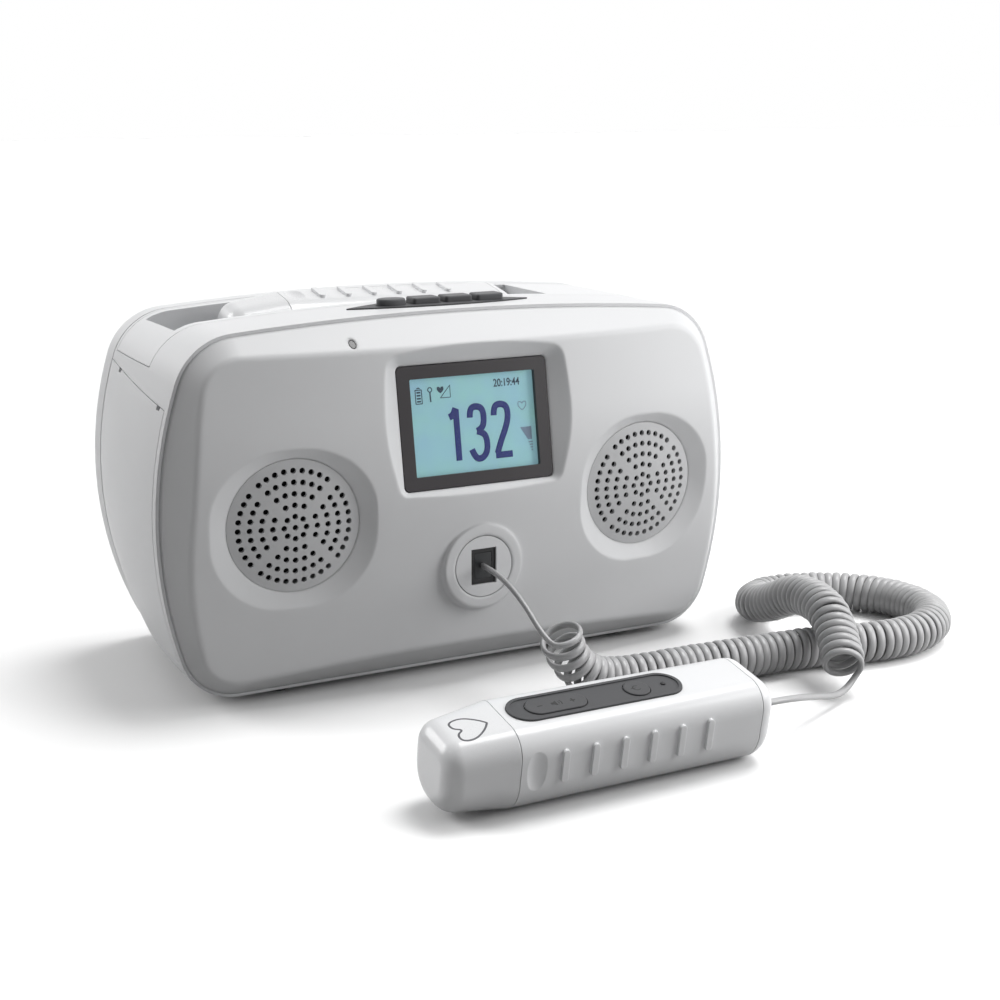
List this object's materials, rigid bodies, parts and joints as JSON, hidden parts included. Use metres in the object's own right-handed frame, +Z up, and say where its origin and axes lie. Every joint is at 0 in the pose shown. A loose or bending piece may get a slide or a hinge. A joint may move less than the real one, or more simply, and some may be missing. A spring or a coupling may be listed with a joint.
{
  "type": "fetal doppler monitor",
  "caption": "Table-top fetal doppler monitor with a leaned display, speakers, top keys, a wired ultrasound probe on a curly cord and a spare probe in the dock on top.",
  "frame": {"origin": "on the table, under the middle of the monitor and of the whole depth with the wired probe in front", "axes": "+X to the right of someone facing the display, +Y to the back, +Z up"},
  "size_m": [0.3798, 0.2798, 0.1702],
  "materials": {
    "casing": "fine moulded grain, light grey",
    "cover": "satin light grey",
    "cradle": "satin light grey",
    "grille": "matt light grey with round holes",
    "key_dark": "satin dark grey",
    "key_cap": "matt dark grey, soft touch",
    "bezel": "glossy near black",
    "window": "clear",
    "display": "pale teal liquid crystal display",
    "socket_ring": "smooth light grey",
    "socket": "matt black",
    "board": "green solder resist",
    "chips": "matt black",
    "screw": "zinc plated",
    "battery": "shrink wrap, dark blue",
    "foot": "matt black",
    "speaker_metal": "black paint",
    "speaker_paper": "black treated paper",
    "probe_shell": "smooth white grey",
    "crystal": "fired, unglazed",
    "lamp": "clear tinted",
    "cord": "smooth mid grey jacket",
    "plug": "clear moulded plug"
  },
  "bodies": {
    "monitor": {"main_housing": "casing", "front_shell": "casing", "rear_cover": "casing", "left_side_cover": "cover", "right_side_cover": "cover", "probe_cradle": "cradle", "speaker_grille_left": "grille", "speaker_grille_right": "grille", "key_panel": "key_dark", "wired_key_pad": "key_dark", "screen_bezel": "bezel", "screen_window": "window", "screen_module": "display", "socket_plate": "socket_ring", "probe_socket": "socket", "power_inlet": "socket", "main_board": "board", "key_board": "board", "wired_probe_board": "board", "board_parts": "chips", "key_switches": "chips", "board_screws": "screw", "case_screws": "screw", "battery_pack": "battery", "feet": "foot", "speaker_frame_left": "speaker_metal", "speaker_frame_right": "speaker_metal", "speaker_cone_left": "speaker_paper", "speaker_cone_right": "speaker_paper", "wired_probe_body": "probe_shell", "wired_probe_head": "probe_shell", "wired_probe_cap": "probe_shell", "wired_crystals": "crystal", "indicator": "lamp", "wired_lamp": "lamp", "cord_lead": "cord", "cord_coil": "cord", "cord_tail": "cord", "cord_gland": "cord", "cord_plug": "plug"},
    "key_1": {"key_1": "key_cap"},
    "key_2": {"key_2": "key_cap"},
    "key_3": {"key_3": "key_cap"},
    "key_4": {"key_4": "key_cap"},
    "wired_rocker": {"wired_rocker_key": "key_cap"},
    "wired_round": {"wired_round_key": "key_cap"},
    "docked_probe": {"docked_probe_body": "probe_shell", "docked_probe_head": "probe_shell", "docked_probe_cap": "probe_shell", "docked_key_pad": "key_dark", "docked_crystals": "crystal", "docked_probe_board": "board", "docked_lamp": "lamp"},
    "docked_rocker": {"docked_rocker_key": "key_cap"},
    "docked_round": {"docked_round_key": "key_cap"},
    "battery_door": {"battery_door": "casing"}
  },
  "joints": [
    {"name": "key_1_press", "type": "slide", "parent": "monitor", "child": "key_1", "axis": [0, 0, -1], "range_m": [0, 0.0008], "stiffness_N_per_m": 1500},
    {"name": "key_2_press", "type": "slide", "parent": "monitor", "child": "key_2", "axis": [0, 0, -1], "range_m": [0, 0.0008], "stiffness_N_per_m": 1500},
    {"name": "key_3_press", "type": "slide", "parent": "monitor", "child": "key_3", "axis": [0, 0, -1], "range_m": [0, 0.0008], "stiffness_N_per_m": 1500},
    {"name": "key_4_press", "type": "slide", "parent": "monitor", "child": "key_4", "axis": [0, 0, -1], "range_m": [0, 0.0008], "stiffness_N_per_m": 1500},
    {"name": "wired_rocker_tilt", "type": "hinge", "parent": "monitor", "child": "wired_rocker", "pos_m": [-0.03375, -0.1214, 0.03515], "axis": [0, 0.9848, 0.1736], "range_deg": [-1.6, 1.6], "stiffness_Nm_per_rad": 0.5},
    {"name": "wired_round_press", "type": "slide", "parent": "monitor", "child": "wired_round", "axis": [0, 0.1736, -0.9848], "range_m": [0, 0.0004], "stiffness_N_per_m": 1500},
    {"name": "docked_rocker_tilt", "type": "hinge", "parent": "docked_probe", "child": "docked_rocker", "pos_m": [-0.03675, 0.10423, 0.15177], "axis": [0, 0.1736, -0.9848], "range_deg": [-1.6, 1.6], "stiffness_Nm_per_rad": 0.5},
    {"name": "docked_round_press", "type": "slide", "parent": "docked_probe", "child": "docked_round", "axis": [0, -0.9848, -0.1736], "range_m": [0, 0.0004], "stiffness_N_per_m": 1500},
    {"name": "docked_probe_lift", "type": "slide", "parent": "monitor", "child": "docked_probe", "axis": [0, 0, 1], "range_m": [0, 0.06]},
    {"name": "battery_door_pull", "type": "slide", "parent": "monitor", "child": "battery_door", "axis": [0, 1, 0], "range_m": [0, 0.03]}
  ]
}
